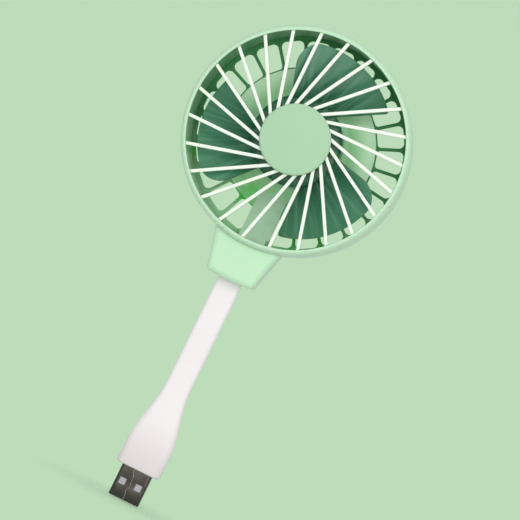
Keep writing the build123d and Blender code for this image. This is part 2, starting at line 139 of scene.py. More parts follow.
def smooth(piece, angle=40):
    takeUp(piece)
    bpy.ops.object.shade_smooth_by_angle(angle=math.radians(angle))


def turned(name, stations, segments=144):
    # a circle drawn out through (radius, depth) stations along Z
    startFresh()
    radius, depth = stations[0]
    bpy.ops.mesh.primitive_circle_add(vertices=segments, radius=radius, location=(0, 0, depth))
    piece = bpy.context.object
    piece.name = piece.data.name = name
    bpy.ops.object.transform_apply(location=True)
    bpy.ops.object.mode_set(mode='EDIT')
    bpy.ops.mesh.select_all(action='SELECT')
    for before, after in zip(stations, stations[1:]):
        bpy.ops.mesh.extrude_region_move(TRANSFORM_OT_translate={"value": (0, 0, after[1] - before[1])})
        scale = after[0] / before[0]
        bpy.ops.transform.resize(value=(scale, scale, 1), center_override=(0, 0, after[1]))
    closeUp()
    return piece


def corner(centre, radii, fromAngle, toAngle, steps):
    # stations along a quarter of an ellipse, angles measured from outwards to forwards
    found = []
    for step in range(steps + 1):
        angle = math.radians(fromAngle + (toAngle - fromAngle) * step / steps)
        found.append((centre[0] + radii[0] * math.cos(angle), centre[1] + radii[1] * math.sin(angle)))
    return found


def copyTurned(piece, angle, name):
    # a copy with its own mesh, turned about Z
    copy = piece.copy()
    copy.data = piece.data.copy()
    copy.name = copy.data.name = name
    bpy.context.scene.collection.objects.link(copy)
    copy.data.transform(Matrix.Rotation(angle, 4, 'Z'))
    return copy


def joined(pieces, name):
    startFresh()
    for piece in pieces:
        piece.select_set(True)
    bpy.context.view_layer.objects.active = pieces[0]
    bpy.ops.object.join()
    pieces[0].name = pieces[0].data.name = name
    return pieces[0]


def toHead(piece):
    # from depth along Z to its place on the head, looking along -Y
    takeUp(piece)
    piece.rotation_euler = (math.pi / 2, 0, 0)
    piece.location = (0, 0, headHeight)
    bpy.ops.object.transform_apply(location=True, rotation=True, scale=True)


# Materials

def linear(hexColour):
    channels = [int(hexColour[i:i + 2], 16) / 255 for i in (1, 3, 5)]
    return [c / 12.92 if c <= 0.04045 else ((c + 0.055) / 1.055) ** 2.4 for c in channels] + [1.0]


def addNode(tree, kind, settings=None, links=None):
    node = tree.nodes.new(kind)
    for name, value in (settings or {}).items():
        if isinstance(name, int) or name in node.inputs:
            node.inputs[name].default_value = value
        else:
            setattr(node, name, value)
    for name, source in (links or {}).items():
        tree.links.new(source, node.inputs[name])
    return node


def finish(name, look):
    # Colour drifts between two tones in broad clouds. A finer noise is the roughness and the bump.
    material = bpy.data.materials.new(name)
    material.use_nodes = True
    tree = material.node_tree
    tree.nodes.clear()
    place = addNode(tree, 'ShaderNodeTexCoord').outputs['Object']
    cloud = addNode(tree, 'ShaderNodeTexNoise',
                    {"Scale": 1 / look["cloud"], "Detail": 3.0, "Roughness": 0.55}, {"Vector": place})
    tones = {"data_type": 'RGBA', 6: linear(look["tone"]), 7: linear(look["tone2"])}
    tone = addNode(tree, 'ShaderNodeMix', tones, {0: cloud.outputs['Fac']})
    grain = addNode(tree, 'ShaderNodeTexNoise', {"Scale": 1 / look["grain"], "Detail": 4.0, "Roughness": 0.6},
                    {"Vector": place})
    rough = addNode(tree, 'ShaderNodeMapRange', {"From Min": 0.3, "From Max": 0.7,
                                                 "To Min": look["rough"][0], "To Max": look["rough"][1]},
                    {"Value": grain.outputs['Fac']})
    bump = addNode(tree, 'ShaderNodeBump', {"Strength": look["bump"], "Distance": look["grain"] * 0.15},
                   {"Height": grain.outputs['Fac']})
    shader = addNode(tree, 'ShaderNodeBsdfPrincipled', look.get("shader"),
                     {"Base Color": tone.outputs[2], "Roughness": rough.outputs['Result'],
                      "Normal": bump.outputs['Normal']})
    addNode(tree, 'ShaderNodeOutputMaterial', None, {"Surface": shader.outputs['BSDF']})
    return {"material": material, "tree": tree, "place": place, "shader": shader}


# One entry for each finish. cloud and grain are sizes in metres.
# Grain finer than 0.3 mm is drawn that coarse, to show.
looks = {
    # ABS, moulded against a fine spark-eroded tool: satin, lets a little light into its thin walls
    "mint_plastic": {"tone": "#bbdfbd", "tone2": "#c1e4c2", "cloud": 14 * mm, "grain": 0.35 * mm,
                     "rough": (0.42, 0.52), "bump": 0.10,
                     "shader": {"IOR": 1.53, "Subsurface Weight": 0.35, "Subsurface Scale": 2.0 * mm,
                                "Subsurface Radius": (0.35, 1.0, 0.4)}},
    # ABS, moulded and lacquered matt, greyer than the rest of the head
    "cap_plastic": {"tone": "#a4c8a6", "tone2": "#a8cba9", "cloud": 12 * mm, "grain": 0.35 * mm,
                    "rough": (0.55, 0.65), "bump": 0.06, "shader": {"IOR": 1.50, "Specular IOR Level": 0.3}},
    # ABS, moulded, a touch glossier
    "offwhite_plastic": {"tone": "#e7efe1", "tone2": "#edf3e8", "cloud": 8 * mm, "grain": 0.3 * mm,
                         "rough": (0.34, 0.42), "bump": 0.06,
                         "shader": {"IOR": 1.53, "Subsurface Weight": 0.15, "Subsurface Scale": 0.8 * mm,
                                    "Subsurface Radius": (1.0, 1.0, 0.9)}},
    # polycarbonate blend, polished tool: clear reflections over a deep colour
    "teal_plastic": {"tone": "#1f5b3b", "tone2": "#286443", "cloud": 10 * mm, "grain": 0.6 * mm,
                     "rough": (0.16, 0.24), "bump": 0.03,
                     "shader": {"IOR": 1.58, "Specular IOR Level": 0.16, "Subsurface Weight": 0.2,
                                "Subsurface Scale": 1.0 * mm, "Subsurface Radius": (0.3, 1.0, 0.6)}},
    # silicone rubber, moulded, dusted matt
    "white_silicone": {"tone": "#ebe2e6", "tone2": "#f0e7eb", "cloud": 9 * mm, "grain": 0.3 * mm,
                       "rough": (0.56, 0.68), "bump": 0.12,
                       "shader": {"IOR": 1.41, "Sheen Weight": 0.12, "Sheen Roughness": 0.6,
                                  "Specular IOR Level": 0.35}},
    # steel strip, nickel plated, folded: dark mirror with rub marks along its length
    "plug_steel": {"tone": "#524e48", "tone2": "#45423c", "cloud": 2.5 * mm, "grain": 0.3 * mm,
                   "rough": (0.28, 0.42), "bump": 0.10, "shader": {"Metallic": 1.0}},
    # brass, gold flashed
    "contact_metal": {"tone": "#d9b76a", "tone2": "#cda85c", "cloud": 2 * mm, "grain": 0.3 * mm,
                      "rough": (0.22, 0.32), "bump": 0.04, "shader": {"Metallic": 1.0}},
    # PBT, moulded
    "connector_plastic": {"tone": "#aeaab2", "tone2": "#a6a2ab", "cloud": 4 * mm, "grain": 0.3 * mm,
                          "rough": (0.45, 0.55), "bump": 0.06, "shader": {"IOR": 1.55}},
    # polypropylene, overmoulded
    "core_plastic": {"tone": "#e4e4df", "tone2": "#dcdcd6", "cloud": 5 * mm, "grain": 0.3 * mm,
                     "rough": (0.5, 0.6), "bump": 0.06, "shader": {"IOR": 1.49}},
    # iron wire, annealed: dull grey
    "core_wire": {"tone": "#8f8f90", "tone2": "#7d7d80", "cloud": 3 * mm, "grain": 0.3 * mm,
                  "rough": (0.42, 0.55), "bump": 0.08, "shader": {"Metallic": 1.0}},
    # PVC insulation, extruded
    "lead_pair": {"tone": "#7a2424", "tone2": "#6c1e1e", "cloud": 4 * mm, "grain": 0.3 * mm,
                  "rough": (0.38, 0.48), "bump": 0.05, "shader": {"IOR": 1.54}},
    "red_insulation": {"tone": "#b92420", "tone2": "#a91e1b", "cloud": 5 * mm, "grain": 0.3 * mm,
                       "rough": (0.34, 0.44), "bump": 0.05, "shader": {"IOR": 1.54}},
    "black_insulation": {"tone": "#1b1b1c", "tone2": "#232324", "cloud": 5 * mm, "grain": 0.3 * mm,
                         "rough": (0.34, 0.44), "bump": 0.05, "shader": {"IOR": 1.54}},
    # electrical steel, punched and stacked
    "motor_steel": {"tone": "#9a9ca0", "tone2": "#86888c", "cloud": 4 * mm, "grain": 0.35 * mm,
                    "rough": (0.3, 0.42), "bump": 0.08, "shader": {"Metallic": 1.0}},
    # ferrite, sintered: charcoal, faintly grainy
    "ferrite": {"tone": "#2b2b2d", "tone2": "#343437", "cloud": 3 * mm, "grain": 0.3 * mm,
                "rough": (0.6, 0.75), "bump": 0.2, "shader": {"IOR": 1.8}},
    # copper, enamelled wire
    "copper_wire": {"tone": "#b86a3a", "tone2": "#a85c30", "cloud": 2 * mm, "grain": 0.3 * mm,
                    "rough": (0.25, 0.35), "bump": 0.2, "shader": {"Metallic": 1.0, "Coat Weight": 0.5}},
    # bronze, sintered and oiled
    "bearing_bronze": {"tone": "#a8783f", "tone2": "#936732", "cloud": 2 * mm, "grain": 0.3 * mm,
                       "rough": (0.4, 0.55), "bump": 0.15, "shader": {"Metallic": 1.0}},
    # brass tube, turned
    "tube_brass": {"tone": "#c8a864", "tone2": "#bb9a55", "cloud": 3 * mm, "grain": 0.3 * mm,
                   "rough": (0.22, 0.34), "bump": 0.06, "shader": {"Metallic": 1.0}},
    # glass-epoxy laminate under green solder mask
    "board_laminate": {"tone": "#1d5c36", "tone2": "#17502e", "cloud": 3 * mm, "grain": 0.3 * mm,
                       "rough": (0.28, 0.4), "bump": 0.12, "shader": {"IOR": 1.55, "Coat Weight": 0.3}},
    # epoxy, transfer moulded
    "chip_plastic": {"tone": "#1c1c1e", "tone2": "#252527", "cloud": 1 * mm, "grain": 0.3 * mm,
                     "rough": (0.5, 0.62), "bump": 0.15, "shader": {"IOR": 1.55}},
    # nylon, moulded, creamy
    "nylon": {"tone": "#e4e1d2", "tone2": "#dad6c4", "cloud": 3 * mm, "grain": 0.3 * mm,
              "rough": (0.4, 0.5), "bump": 0.06, "shader": {"IOR": 1.53, "Subsurface Weight": 0.1,
                                                            "Subsurface Scale": 0.5 * mm}},
    # steel, zinc plated
    "screw_steel": {"tone": "#b4b7bb", "tone2": "#a1a4a9", "cloud": 1.5 * mm, "grain": 0.3 * mm,
                    "rough": (0.26, 0.38), "bump": 0.08, "shader": {"Metallic": 1.0}},
}

finishes = {slot: finish(slot, look) for slot, look in looks.items()}


tintLook = {
    # blades: distances from the axis for the darker hub, then the painted highlight streaks
    "hub": 15 * mm, "tip": 37 * mm, "tipTone": "#4c8566",
    "highlightStreakTone": "#83b39a", "streaks": 9.0, "streakLength": 14, "streakScale": 1.6, "highlightStreakShare": 0.42,
    # painted shade inside the drum and the front ring, and painted light on their lower side
    "paintedShadeTone": "#549a64", "paintedLowLightTone": "#a9d6ac", "lowFrom": 2 * mm, "lowTo": 26 * mm, "lowShare": 0.9,
    "outsideGloss": 0.5, "insideGloss": 0.05,
    # motor cup with painted light, shade and glow, and lead channel
    "podRim": 27 * mm, "podRoot": 19 * mm, "podRimTone": "#c9ecc8", "podShadeTone": "#8cc792",
    "podLight": (0.6, 1.0, 0.6, 1.0), "podPaintedGlow": 0.12,
    "channelTone": "#c3e2c6", "channelTone2": "#aed3b3", "channelCloud": 3 * mm,
    # painted glow spots
    "paintedGlowTone": "#45c048", "glowSize": 5 * mm, "glowCore": 0.25,
    # painted shade on the grip's plug end and on the guard's outer ring
    "gripShadeTone": "#d9cfd2", "gripFrom": 36 * mm, "gripTo": 12 * mm, "gripShare": 0.85,
    "rimFrom": 40.2 * mm, "rimTo": 40.42 * mm}

# painted light spots, for light that comes in through the plastic next to the neck: x, height over the axis,
# reach, strength
paintedGlowSpots = [(-9 * mm, -24.5 * mm, 8 * mm, 1.0), (-15 * mm, -20 * mm, 6 * mm, 0.6),
             (8.5 * mm, -24 * mm, 6 * mm, 1.0), (12 * mm, -34.5 * mm, 6 * mm, 0.95),
             (21.5 * mm, -30 * mm, 5 * mm, 0.7), (-34 * mm, -19 * mm, 5 * mm, 0.6)]


def headPlace(made):
    # place across the head's axis, its distance from the axis, and its parts
    tree = made["tree"]
    centred = addNode(tree, 'ShaderNodeVectorMath', {"operation": 'SUBTRACT', 1: (0, 0, headHeight)},
                      {0: made["place"]})
    flat = addNode(tree, 'ShaderNodeVectorMath', {"operation": 'MULTIPLY', 1: (1, 0, 1)},
                   {0: centred.outputs['Vector']})
    reach = addNode(tree, 'ShaderNodeVectorMath', {"operation": 'LENGTH'}, {0: flat.outputs['Vector']})
    parts = addNode(tree, 'ShaderNodeSeparateXYZ', None, {0: centred.outputs['Vector']})
    return flat.outputs['Vector'], reach.outputs['Value'], parts


def ramp(tree, value, start, end, low=0.0, high=1.0):
    # a soft step from low to high between two values
    settings = {"From Min": start, "From Max": end, "To Min": low, "To Max": high,
                "interpolation_type": 'SMOOTHSTEP'}
    return addNode(tree, 'ShaderNodeMapRange', settings, {"Value": value}).outputs[0]


def combine(tree, operation, first, second):
    return addNode(tree, 'ShaderNodeMath', {"operation": operation}, {0: first, 1: second}).outputs[0]


def recolour(made, share, tone):
    # mixes another tone over what the shader has so far
    tree, socket = made["tree"], made["shader"].inputs['Base Color']
    mixed = addNode(tree, 'ShaderNodeMix', {"data_type": 'RGBA', 7: linear(tone)},
                    {0: share, 6: socket.links[0].from_socket})
    tree.links.new(mixed.outputs[2], socket)


def tintImpeller():
    # darker at the hub and lighter towards the tips, with painted highlights: lighter streaks of reflection that
    # run out along the blades
    made = finishes["teal_plastic"]
    tree = made["tree"]
    flat, reach = headPlace(made)[:2]
    recolour(made, ramp(tree, reach, tintLook["hub"], tintLook["tip"]), tintLook["tipTone"])
    direction = addNode(tree, 'ShaderNodeVectorMath', {"operation": 'NORMALIZE'}, {0: flat})
    spread = addNode(tree, 'ShaderNodeVectorMath', {"operation": 'SCALE', "Scale": tintLook["streaks"]},
                     {0: direction.outputs['Vector']})
    length = tintLook["streakLength"]
    drawn = addNode(tree, 'ShaderNodeVectorMath', {"operation": 'MULTIPLY_ADD', 1: (length, 0, length)},
                    {0: flat, 2: spread.outputs['Vector']})
    streak = addNode(tree, 'ShaderNodeTexNoise',
                     {"Scale": tintLook["streakScale"], "Detail": 4.0, "Roughness": 0.62},
                     {"Vector": drawn.outputs['Vector']})
    # painted highlight streaks, lighter where light reflects along the blades
    strength = ramp(tree, streak.outputs['Fac'], 0.42, 0.78, 0.0, tintLook["highlightStreakShare"])
    recolour(made, strength, tintLook["highlightStreakTone"])


def paintedGlowShare(made, flat):
    # the painted glow spots together, with ragged edges
    tree = made["tree"]
    blot = addNode(tree, 'ShaderNodeTexNoise', {"Scale": 1 / tintLook["glowSize"], "Detail": 2.0},
                   {"Vector": made["place"]})
    ragged = ramp(tree, blot.outputs['Fac'], 0.30, 0.55, 0.35, 1.0)
    total = None
    for x, height, size, strength in paintedGlowSpots:
        away = addNode(tree, 'ShaderNodeVectorMath', {"operation": 'DISTANCE', 1: (x, 0, height)},
                       {0: flat})
        spot = ramp(tree, away.outputs['Value'], size, tintLook["glowCore"] * size, 0.0, strength)
        total = spot if total is None else combine(tree, 'MAXIMUM', spot, total)
    return combine(tree, 'MULTIPLY', total, ragged)


def paintInsideShadeAndLight(name, limit, rear, fore):
    # painted shade: the inside of a moulding, within a distance of the axis and between two depths, is painted a
    # deeper green and made matter, with painted light on its lower side and painted glow spots
    made = finishes[name] = finish(name, looks["mint_plastic"])
    tree = made["tree"]
    flat, reach, parts = headPlace(made)
    inside = ramp(tree, reach, limit + 0.05 * mm, limit - 0.05 * mm)
    for share in (ramp(tree, parts.outputs['Y'], -rear - 0.25 * mm, -rear - 0.45 * mm),
                  ramp(tree, parts.outputs['Y'], -fore - 0.1 * mm, -fore + 0.1 * mm)):
        inside = combine(tree, 'MULTIPLY', share, inside)
    # painted shade: a deep green over the inside
    recolour(made, inside, tintLook["paintedShadeTone"])
    gloss = ramp(tree, inside, 0.0, 1.0, tintLook["outsideGloss"], tintLook["insideGloss"])
    tree.links.new(gloss, made["shader"].inputs['Specular IOR Level'])
    # painted light: the lower inside is lighter, where light falls on the wall that faces up
    low = ramp(tree, parts.outputs['Z'], -tintLook["lowFrom"], -tintLook["lowTo"], 0.0, tintLook["lowShare"])
    for share, tone in ((low, "paintedLowLightTone"), (paintedGlowShare(made, flat), "paintedGlowTone")):
        recolour(made, combine(tree, 'MULTIPLY', share, inside), tintLook[tone])


def paintPodShadeAndGlow():
    # painted light and shade: pale at its foot and darker towards the hub, where the blades shade it, with painted
    # glow spots and a little emitted light, a painted glow for what its wall lets in
    pale = dict(looks["mint_plastic"], tone=tintLook["podRimTone"], tone2=tintLook["podRimTone"])
    made = finishes["motorCup"] = finish("motorCup", pale)
    flat, reach = headPlace(made)[:2]
    recolour(made, ramp(made["tree"], reach, tintLook["podRim"], tintLook["podRoot"]), tintLook["podShadeTone"])
    recolour(made, paintedGlowShare(made, flat), tintLook["paintedGlowTone"])
    # painted glow: the cup emits a little light, though it is no lamp
    made["shader"].inputs['Emission Color'].default_value = tintLook["podLight"]
    made["shader"].inputs['Emission Strength'].default_value = tintLook["podPaintedGlow"]


def tintChannel():
    pale = dict(looks["mint_plastic"], tone=tintLook["channelTone"], tone2=tintLook["channelTone2"],
                cloud=tintLook["channelCloud"])
    finishes["channelCover"] = finish("channelCover", pale)


def shadeGripEnd():
    # painted shade: the plug end of the grip a little greyer, where the light falls off
    made = finishes["white_silicone"]
    parts = addNode(made["tree"], 'ShaderNodeSeparateXYZ', None, {0: made["place"]})
    share = ramp(made["tree"], parts.outputs['Z'], tintLook["gripFrom"], tintLook["gripTo"],
                 0.0, tintLook["gripShare"])
    recolour(made, share, tintLook["gripShadeTone"])


def shadeGuardRim():
    # painted shade: the guard's outer ring is painted the green shade that lies behind the front ring's mouth
    made = finishes["offwhite_plastic"]
    reach = headPlace(made)[1]
    recolour(made, ramp(made["tree"], reach, tintLook["rimFrom"], tintLook["rimTo"]), tintLook["paintedShadeTone"])


shadeGuardRim()
shadeGripEnd()
tintImpeller()
drum, ring = headSpan("rear_housing"), headSpan("front_bezel")
# lit and shaded copies of the mint finish, with painted shade and light inside the drum and the front ring
paintInsideShadeAndLight("rearMoulding", 41.3 * mm, drum[1], drum[2] + 1 * mm)
paintInsideShadeAndLight("ringMoulding", 41.8 * mm, ring[1] - 1 * mm, ring[2] - 0.75 * mm)
paintPodShadeAndGlow()
tintChannel()


def dress(piece, slot):
    piece.data.materials.clear()
    piece.data.materials.append(finishes[slot]["material"])


def placeOn(piece, body, slot, *nodes):
    # the last step of every new piece: its finish, its body and the nodes that it stands for
    dress(piece, slot)
    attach(piece, body)
    if nodes:
        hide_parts(*nodes)


for part in frame["record"]["subparts"]:
    node = frame["nodes"][part["node"]]
    node.data.materials.clear()
    own = {"rear_housing": "rearMoulding", "motor_pod": "motorCup", "channel_cover": "channelCover"}
    finishName = own.get(part["node"], part["material_slot"])
    node.data.materials.append(finishes[finishName]["material"])
print("finishes made:", len(finishes))


# Front ring

bezelLook = {"mouth": 40.4 * mm, "wall": 1.0 * mm, "lip": 0.7 * mm, "bead": 0.35 * mm, "fall": 3.2 * mm}


def makeBezel():
    outer, back, front = headSpan("front_bezel")
    look = bezelLook
    crest = look["mouth"] + look["bead"]
    stations = [(look["mouth"], front - look["lip"])]
    stations += corner((crest, front - look["bead"]), (look["bead"], look["bead"]), 180, 90, 4)
    stations += corner((crest, front - look["fall"]), (outer - crest, look["fall"]), 90, 0, 12)[1:]
    stations += [(outer, back + 0.35 * mm), (outer - 0.25 * mm, back + 0.1 * mm)]   # parting groove
    stations += [(outer - look["wall"], back + 0.1 * mm), (outer - look["wall"], front - look["lip"])]
    stations.append(stations[0])
    piece = turned("frontRing", stations)
    smooth(piece)
    toHead(piece)
    placeOn(piece, "head", "mint_plastic", "front_bezel")
    piece.data.materials[0] = finishes["ringMoulding"]["material"]


# Front guard: straight ribs that sweep past the axis, between two rings

guardLook = {"ribs": 24, "width": 1.25 * mm, "offset": 8.5 * mm, "thickness": 2.0 * mm, "fall": 1.15 * mm,
             "mouth": 40.4 * mm, "innerRing": (9.65 * mm, 12.6 * mm), "outerRing": (40.45 * mm, 41.4 * mm)}


def domeDepth(reach, crown):
    # depth of the guard's face at a distance from the axis
    return crown - guardLook["fall"] * (reach / guardLook["mouth"]) ** 2


def makeRib(crown):
    look = guardLook
    begin = math.sqrt((look["innerRing"][1] - 1 * mm) ** 2 - look["offset"] ** 2)
    end = math.sqrt((look["outerRing"][1] - 0.4 * mm) ** 2 - look["offset"] ** 2)
    startFresh()
    middle = ((begin + end) / 2, look["offset"], -look["thickness"] / 2)
    bpy.ops.mesh.primitive_cube_add(size=1, location=middle,
                                    scale=(end - begin, look["width"], look["thickness"]))
    rib = bpy.context.object
    rib.name = rib.data.name = "guardRib"
    bpy.ops.object.transform_apply(location=True, scale=True)
    bpy.ops.object.mode_set(mode='EDIT')
    pick(rib, 'EDGE', lambda e: abs(e.verts[0].co.x - e.verts[1].co.x) > 1 * mm)
    bpy.ops.mesh.subdivide(number_cuts=11)
    columns = sorted({round(v.co.x, 6) for v in bmesh.from_edit_mesh(rib.data).verts})
    for x in columns:
        pick(rib, 'VERT', lambda v: abs(v.co.x - x) < 0.01 * mm)
        reach = math.hypot(x, look["offset"])
        bpy.ops.transform.translate(value=(0, 0, domeDepth(reach, crown)))
    bpy.ops.object.mode_set(mode='OBJECT')
    softenEdges(rib, 0.2 * mm, 2)
    return rib


def makeGuard():
    crown = headSpan("front_guard")[2]
    look = guardLook
    first = makeRib(crown)
    ribs = [first]
    for k in range(1, look["ribs"]):
        ribs.append(copyTurned(first, 2 * math.pi * k / look["ribs"], f"guardRib{k}"))
    rings = []
    for name, (inner, outer) in (("guardHubRing", look["innerRing"]), ("guardRimRing", look["outerRing"])):
        face = [domeDepth(inner, crown), domeDepth(outer, crown)]
        back = [depth - look["thickness"] for depth in face]
        stations = [(inner, face[0]), (outer, face[1]), (outer, back[1]), (inner, back[0]), (inner, face[0])]
        ring = turned(name, stations)
        softenEdges(ring, 0.15 * mm, 2)
        rings.append(ring)
    guard = joined(ribs, "frontGuard")
    for ring in rings:
        applyModifier(guard, 'BOOLEAN', {"operation": 'UNION', "object": ring, "solver": 'EXACT'})
        bpy.data.objects.remove(ring)
    smooth(guard, 30)
    toHead(guard)
    placeOn(guard, "head", "offwhite_plastic", "front_guard")


# Round cap over the inner ends of the ribs

capLook = {"round": (0.9 * mm, 0.7 * mm), "collar": (8.55 * mm, 9.55 * mm), "collarDepth": 1.9 * mm}


def makeCap():
    radius, back, front = headSpan("hub_cap")
    look = capLook
    seat = back + look["collarDepth"]
    inner, outer = look["collar"]
    wide, tall = look["round"]
    stations = [(inner, seat), (inner, back), (outer, back), (outer, seat), (radius - 0.15 * mm, seat),
                (radius, seat + 0.15 * mm)]
    stations += corner((radius - wide, front - tall), (wide, tall), 0, 90, 6)
    stations += [(radius * 0.6, front), (0, front)]
    piece = turned("hubCap", stations)
    takeUp(piece)
    bpy.ops.object.mode_set(mode='EDIT')
    pick(piece, 'EDGE', lambda e: e.is_boundary)
    bpy.ops.mesh.edge_face_add()
    closeUp()
    smooth(piece)
    toHead(piece)
    placeOn(piece, "head", "cap_plastic", "hub_cap")


# Impeller

impellerLook = {"blades": 3, "phase": 80.0, "wall": 1.25 * mm, "hubRound": 1.6 * mm, "hubRadius": 17.0 * mm,
                "rootRadius": 16.4 * mm, "rootAngles": (-20.0, 41.5), "tipAngles": (-36.5, 34.0),
                "tipRadius": 36.8 * mm, "sharpTip": 35.4 * mm,
                "broadCorner": 9.0 * mm, "sharpCorner": 1.5 * mm,
                "thickness": 1.2 * mm, "camber": 1.6 * mm, "middle": 3.0 * mm, "halfWidth": 26 * mm,
                "pitch": ((12 * mm, 25.0), (24 * mm, 17.5), (38 * mm, 13.0)), "grid": (26, 22),
                "bore": 1.05 * mm, "boss": 3.1 * mm, "bossDepth": 4.5 * mm}


def bladeRise(x):
    # the blade flattens outwards: its rise passes through three stations
    stations = [(at, impellerLook["halfWidth"] * math.tan(math.radians(pitch)))
                for at, pitch in impellerLook["pitch"]]
    total = 0
    for i, (at, rise) in enumerate(stations):
        term = rise
        for j, station in enumerate(stations):
            other = station[0]
            if j != i:
                term *= (x - other) / (at - other)
        total += term
    return total


def roundedInset(distance, radius):
    # how far a rounded corner draws the edge in, at a distance from the tip
    if distance >= radius:
        return 0.0
    return radius - math.sqrt(max(radius ** 2 - (radius - distance) ** 2, 0))


def bladePoint(across, outwards):
    look = impellerLook
    share = math.sin(outwards * math.pi / 2)
    ends = []
    tips = (look["sharpTip"], look["tipRadius"])
    corners = (look["sharpCorner"], look["broadCorner"])
    for side in (0, 1):
        root = Vector((look["rootRadius"], 0))
        root.rotate(Matrix.Rotation(math.radians(look["rootAngles"][side]), 2))
        tip = Vector((tips[side], 0))
        tip.rotate(Matrix.Rotation(math.radians(look["tipAngles"][side]), 2))
        point = root.lerp(tip, share)
        inset = roundedInset((tip - root).length * (1 - share), corners[side]) / point.length
        angle = math.atan2(point.y, point.x) + (inset if side == 0 else -inset)
        ends.append((point.length, angle))
    ease = 1 - (1 - across) ** 2
    radius = ends[0][0] + (ends[1][0] - ends[0][0]) * ease
    angle = ends[0][1] + (ends[1][1] - ends[0][1]) * across
    x, y = radius * math.cos(angle), radius * math.sin(angle)
    bow = y / look["halfWidth"]
    return Vector((x, y, look["middle"] + bladeRise(x) * bow + look["camber"] * (1 - bow ** 2)))


def makeBlade():
    columns, rows = impellerLook["grid"]
    startFresh()
    bpy.ops.mesh.primitive_grid_add(x_subdivisions=columns, y_subdivisions=rows, size=1)
    blade = bpy.context.object
    blade.name = blade.data.name = "blade"
    for vertex in blade.data.vertices:
        vertex.co = bladePoint(vertex.co.x + 0.5, vertex.co.y + 0.5)
    bpy.ops.object.mode_set(mode='EDIT')
    closeUp()
    applyModifier(blade, 'SOLIDIFY', {"thickness": impellerLook["thickness"], "offset": 0.0})
    softenEdges(blade, 0.35 * mm, 3, 50)
    return blade


def makeImpeller():
    look = impellerLook
    top = -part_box("rotor_shaft")[0].y + look["wall"]
    bottom = headSpan("rotor_magnet")[1] - 1.0 * mm
    bore, boss, bossDepth = look["bore"], look["boss"], look["bossDepth"]
    outer = look["hubRadius"]
    inner = outer - look["wall"]
    soft = look["hubRound"]
    stations = [(bore, top - look["wall"]), (bore, bossDepth), (boss, bossDepth),
                (boss, top - look["wall"]), (inner, top - look["wall"]), (inner, bottom + 0.2 * mm),
                (inner + 0.2 * mm, bottom), (outer - 0.2 * mm, bottom), (outer, bottom + 0.2 * mm)]
    stations += corner((outer - soft, top - soft), (soft, soft), 0, 90, 8)
    stations += [(outer * 0.6, top), (0, top)]
    hub = turned("impeller", stations)
    takeUp(hub)
    bpy.ops.object.mode_set(mode='EDIT')
    pick(hub, 'EDGE', lambda e: e.is_boundary)
    bpy.ops.mesh.edge_face_add()
    closeUp()
    first = makeBlade()
    first.data.transform(Matrix.Rotation(math.radians(look["phase"]), 4, 'Z'))
    blades = [first]
    for k in range(1, look["blades"]):
        blades.append(copyTurned(first, 2 * math.pi * k / look["blades"], f"blade{k}"))
    piece = joined([hub] + blades, "impellerMoulding")
    smooth(piece, 45)
    toHead(piece)
    placeOn(piece, "rotor", "teal_plastic", "impeller")


makeBezel()
makeGuard()
makeCap()
makeImpeller()
print("head pieces made")


# Silicone sleeve: a grip that flares up into the neck, then one stretch for each hinge

sleeveLook = {"grip": (17.4 * mm, 8.0 * mm), "corner": 3.0 * mm, "neck": (9.4 * mm, 5.0 * mm),
              "foot": 12.2 * mm, "flareFoot": 22.8 * mm, "flareSteps": 16, "flareEase": 0.86,
              "rim": 0.9 * mm, "rings": 8}


def sleeveBlock(name, low, high, isNeck):
    # rounded bar standing on Z, with the grip's section or the neck's
    look = sleeveLook
    startFresh()
    width, depth = look["grip"]
    bpy.ops.mesh.primitive_cube_add(size=1, location=(0, 0, (low + high) / 2),
                                    scale=(width, depth, high - low))
    bar = bpy.context.object
    bar.name = bar.data.name = name
    bpy.ops.object.transform_apply(location=True, scale=True)
    bpy.ops.object.mode_set(mode='EDIT')
    pick(bar, 'EDGE', lambda e: abs(e.verts[0].co.z - e.verts[1].co.z) > 1 * mm)
    bpy.ops.mesh.bevel(offset=look["corner"], segments=8, affect='EDGES')
    if isNeck:
        bpy.ops.mesh.select_all(action='SELECT')
        bpy.ops.transform.resize(value=(look["neck"][0] / width, look["neck"][1] / depth, 1),
                                 center_override=(0, 0, 0))
    return bar


def makeGrip(top):
    look = sleeveLook
    grip = sleeveBlock("sleeveGrip", look["foot"], look["flareFoot"], False)
    pick(grip, 'FACE', lambda f: f.normal.z > 0.9)
    width, depth = look["grip"]
    rise = (top - look["flareFoot"]) / look["flareSteps"]
    for step in range(1, look["flareSteps"] + 1):
        share = (step / look["flareSteps"]) ** look["flareEase"]
        ease = share * share * (3 - 2 * share)
        size = [a + (b - a) * ease for a, b in zip(look["grip"], look["neck"])]
        bpy.ops.mesh.extrude_region_move(TRANSFORM_OT_translate={"value": (0, 0, rise)})
        bpy.ops.transform.resize(value=(size[0] / width, size[1] / depth, 1),
                                 center_override=(0, 0, look["flareFoot"] + rise * step))
        width, depth = size
    pick(grip, 'EDGE', lambda e: max(v.co.z for v in e.verts) < look["foot"] + 0.01 * mm)
    bpy.ops.mesh.bevel(offset=look["rim"], segments=5, affect='EDGES')
    pick(grip, 'FACE', lambda f: f.normal.z < -0.9 and f.calc_area() > 20 * mm * mm)
    bpy.ops.mesh.inset(thickness=0.7 * mm)
    # pocket round the shell
    bpy.ops.mesh.extrude_region_move(TRANSFORM_OT_translate={"value": (0, 0, 0.4 * mm)})
    closeUp()
    smooth(grip)
    placeOn(grip, "plug", "white_silicone", "sleeve_grip")


def makeStretch(name, low, high):
    bar = sleeveBlock(name, low, high, True)
    pick(bar, 'EDGE', lambda e: abs(e.verts[0].co.z - e.verts[1].co.z) > 1 * mm)
    bpy.ops.mesh.subdivide(number_cuts=sleeveLook["rings"])
    closeUp()
    smooth(bar)
    dress(bar, "white_silicone")
    return bar


